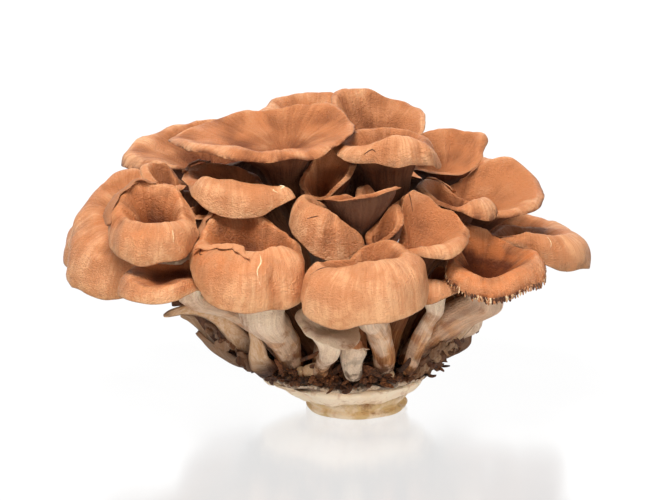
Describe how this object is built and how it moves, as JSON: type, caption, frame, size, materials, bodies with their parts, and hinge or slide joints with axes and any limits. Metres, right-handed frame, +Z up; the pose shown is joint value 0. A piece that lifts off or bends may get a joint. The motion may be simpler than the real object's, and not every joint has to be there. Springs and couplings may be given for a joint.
{
  "type": "maitake mushroom",
  "caption": "Fresh maitake mushroom cluster: wavy funnel caps with rolled margins on leaning stems that rise from one trimmed butt.",
  "frame": {"origin": "centre of the flat cut foot of the butt", "axes": "+Z up through the cluster, +X to the right and -Y towards the viewer of the front"},
  "size_m": [0.1922, 0.1648, 0.1117],
  "materials": {
    "frond_flesh": "satin, fine radial fibres, cream underneath",
    "butt_flesh": "matte, stained",
    "litter": "matte, crumbly",
    "withered_flesh": "matte, shrivelled"
  },
  "bodies": {
    "root": {"butt": "butt_flesh", "litter_crust": "litter", "front_left_frond": "frond_flesh", "centre_ridge_frond": "frond_flesh", "front_middle_frond": "frond_flesh", "middle_fold_frond": "frond_flesh", "front_centre_frond": "frond_flesh", "front_right_frond": "frond_flesh", "middle_right_frond": "frond_flesh", "far_left_frond": "frond_flesh", "upper_left_frond": "frond_flesh", "right_funnel_frond": "frond_flesh", "far_right_frond": "frond_flesh", "top_frond": "frond_flesh", "saddle_frond": "frond_flesh", "right_shoulder_frond": "frond_flesh", "top_back_frond": "frond_flesh", "top_left_frond": "frond_flesh", "back_crown_frond": "frond_flesh", "small_left_frond": "frond_flesh", "right_lip_frond": "frond_flesh", "inner_plate_frond": "frond_flesh", "inner_lip_frond": "frond_flesh", "inner_left_frond": "frond_flesh", "inner_leaf_frond": "frond_flesh", "low_left_frond": "frond_flesh", "left_back_frond": "frond_flesh", "small_right_frond": "frond_flesh", "front_under_frond": "frond_flesh", "pale_fold_frond": "frond_flesh", "low_right_frond": "frond_flesh", "back_left_frond": "frond_flesh", "back_middle_left_frond": "frond_flesh", "back_centre_frond": "frond_flesh", "back_middle_right_frond": "frond_flesh", "back_right_frond": "frond_flesh", "rear_left_frond": "frond_flesh", "rear_centre_frond": "frond_flesh", "rear_right_frond": "frond_flesh", "rear_far_right_frond": "frond_flesh", "dark_flag_shoot": "withered_flesh", "long_pale_shoot": "withered_flesh", "brown_blade_shoot": "withered_flesh", "low_dark_shoot": "withered_flesh", "pointed_shoot": "withered_flesh", "middle_shoot": "withered_flesh", "right_pale_shoot": "withered_flesh", "right_dark_shoot": "withered_flesh", "back_left_shoot": "withered_flesh", "back_shoot": "withered_flesh", "back_right_shoot": "withered_flesh"}
  },
  "joints": []
}
